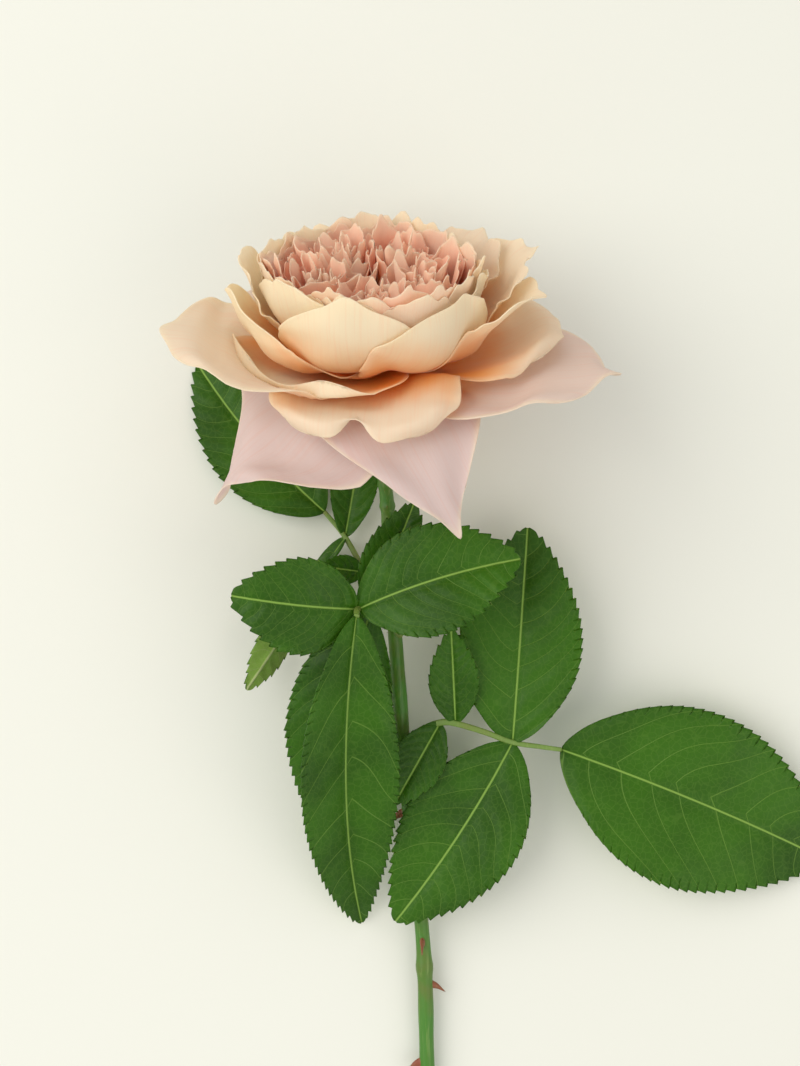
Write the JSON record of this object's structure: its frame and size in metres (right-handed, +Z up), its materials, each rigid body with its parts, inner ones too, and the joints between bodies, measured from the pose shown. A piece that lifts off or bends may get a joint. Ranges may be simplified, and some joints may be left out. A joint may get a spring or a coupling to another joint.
{
  "type": "cut rose",
  "caption": "Cut garden rose lying on its side: cupped peach bloom with spread lower petals, serrated compound leaves and a prickly stem.",
  "frame": {"origin": "bottom centre of the rose's box: the point of the table under the middle of the lying flower", "axes": "+Z up from the table, +Y along the stem towards the flower, -Y towards the cut end, +X to the viewer's right when the flower is upright in view"},
  "size_m": [0.174, 0.2928, 0.0733],
  "materials": {
    "petal_outer": "soft matte, translucent, apricot at the base fading to cream and lilac pink",
    "petal_cup": "soft satin, translucent, cream yellow",
    "petal_inner": "soft matte, translucent, coral pink with pale edges",
    "sepal": "matte, finely hairy",
    "stem": "smooth waxy green, reddish prickles",
    "petiole": "smooth waxy green",
    "leaf": "satin dark green with pale veins"
  },
  "bodies": {
    "root": {"leaflet_back_base": "leaf", "leaflet_back_end": "leaf", "leaflet_back_left": "leaf", "leaflet_back_right": "leaf", "leaflet_front_end": "leaf", "leaflet_front_hanging": "leaf", "leaflet_front_left": "leaf", "leaflet_front_right": "leaf", "leaflet_front_upper": "leaf", "leaflet_right_base_lower": "leaf", "leaflet_right_base_upper": "leaf", "leaflet_right_end": "leaf", "leaflet_right_lower": "leaf", "leaflet_right_upper": "leaf", "petal_back_left": "petal_outer", "petal_back_right": "petal_outer", "petal_cup_1": "petal_cup", "petal_cup_2": "petal_cup", "petal_cup_3": "petal_cup", "petal_cup_4": "petal_cup", "petal_cup_5": "petal_cup", "petal_cup_6": "petal_cup", "petal_cup_7": "petal_cup", "petal_cup_8": "petal_cup", "petal_cup_9": "petal_cup", "petal_front_notched": "petal_outer", "petal_front_short": "petal_outer", "petal_half_open_1": "petal_outer", "petal_half_open_2": "petal_outer", "petal_half_open_3": "petal_outer", "petal_hanging_left": "petal_outer", "petal_hanging_right": "petal_outer", "petal_inner_1": "petal_inner", "petal_inner_10": "petal_inner", "petal_inner_11": "petal_inner", "petal_inner_12": "petal_inner", "petal_inner_13": "petal_inner", "petal_inner_2": "petal_inner", "petal_inner_3": "petal_inner", "petal_inner_4": "petal_inner", "petal_inner_5": "petal_inner", "petal_inner_6": "petal_inner", "petal_inner_7": "petal_inner", "petal_inner_8": "petal_inner", "petal_inner_9": "petal_inner", "petal_outer_left": "petal_outer", "petal_outer_right": "petal_outer", "petal_outer_right_upper": "petal_outer", "petiole_back": "petiole", "petiole_front": "petiole", "petiole_right": "petiole", "sepal_1": "sepal", "sepal_2": "sepal", "sepal_3": "sepal", "sepal_4": "sepal", "sepal_5": "sepal", "stem": "stem"}
  },
  "joints": []
}
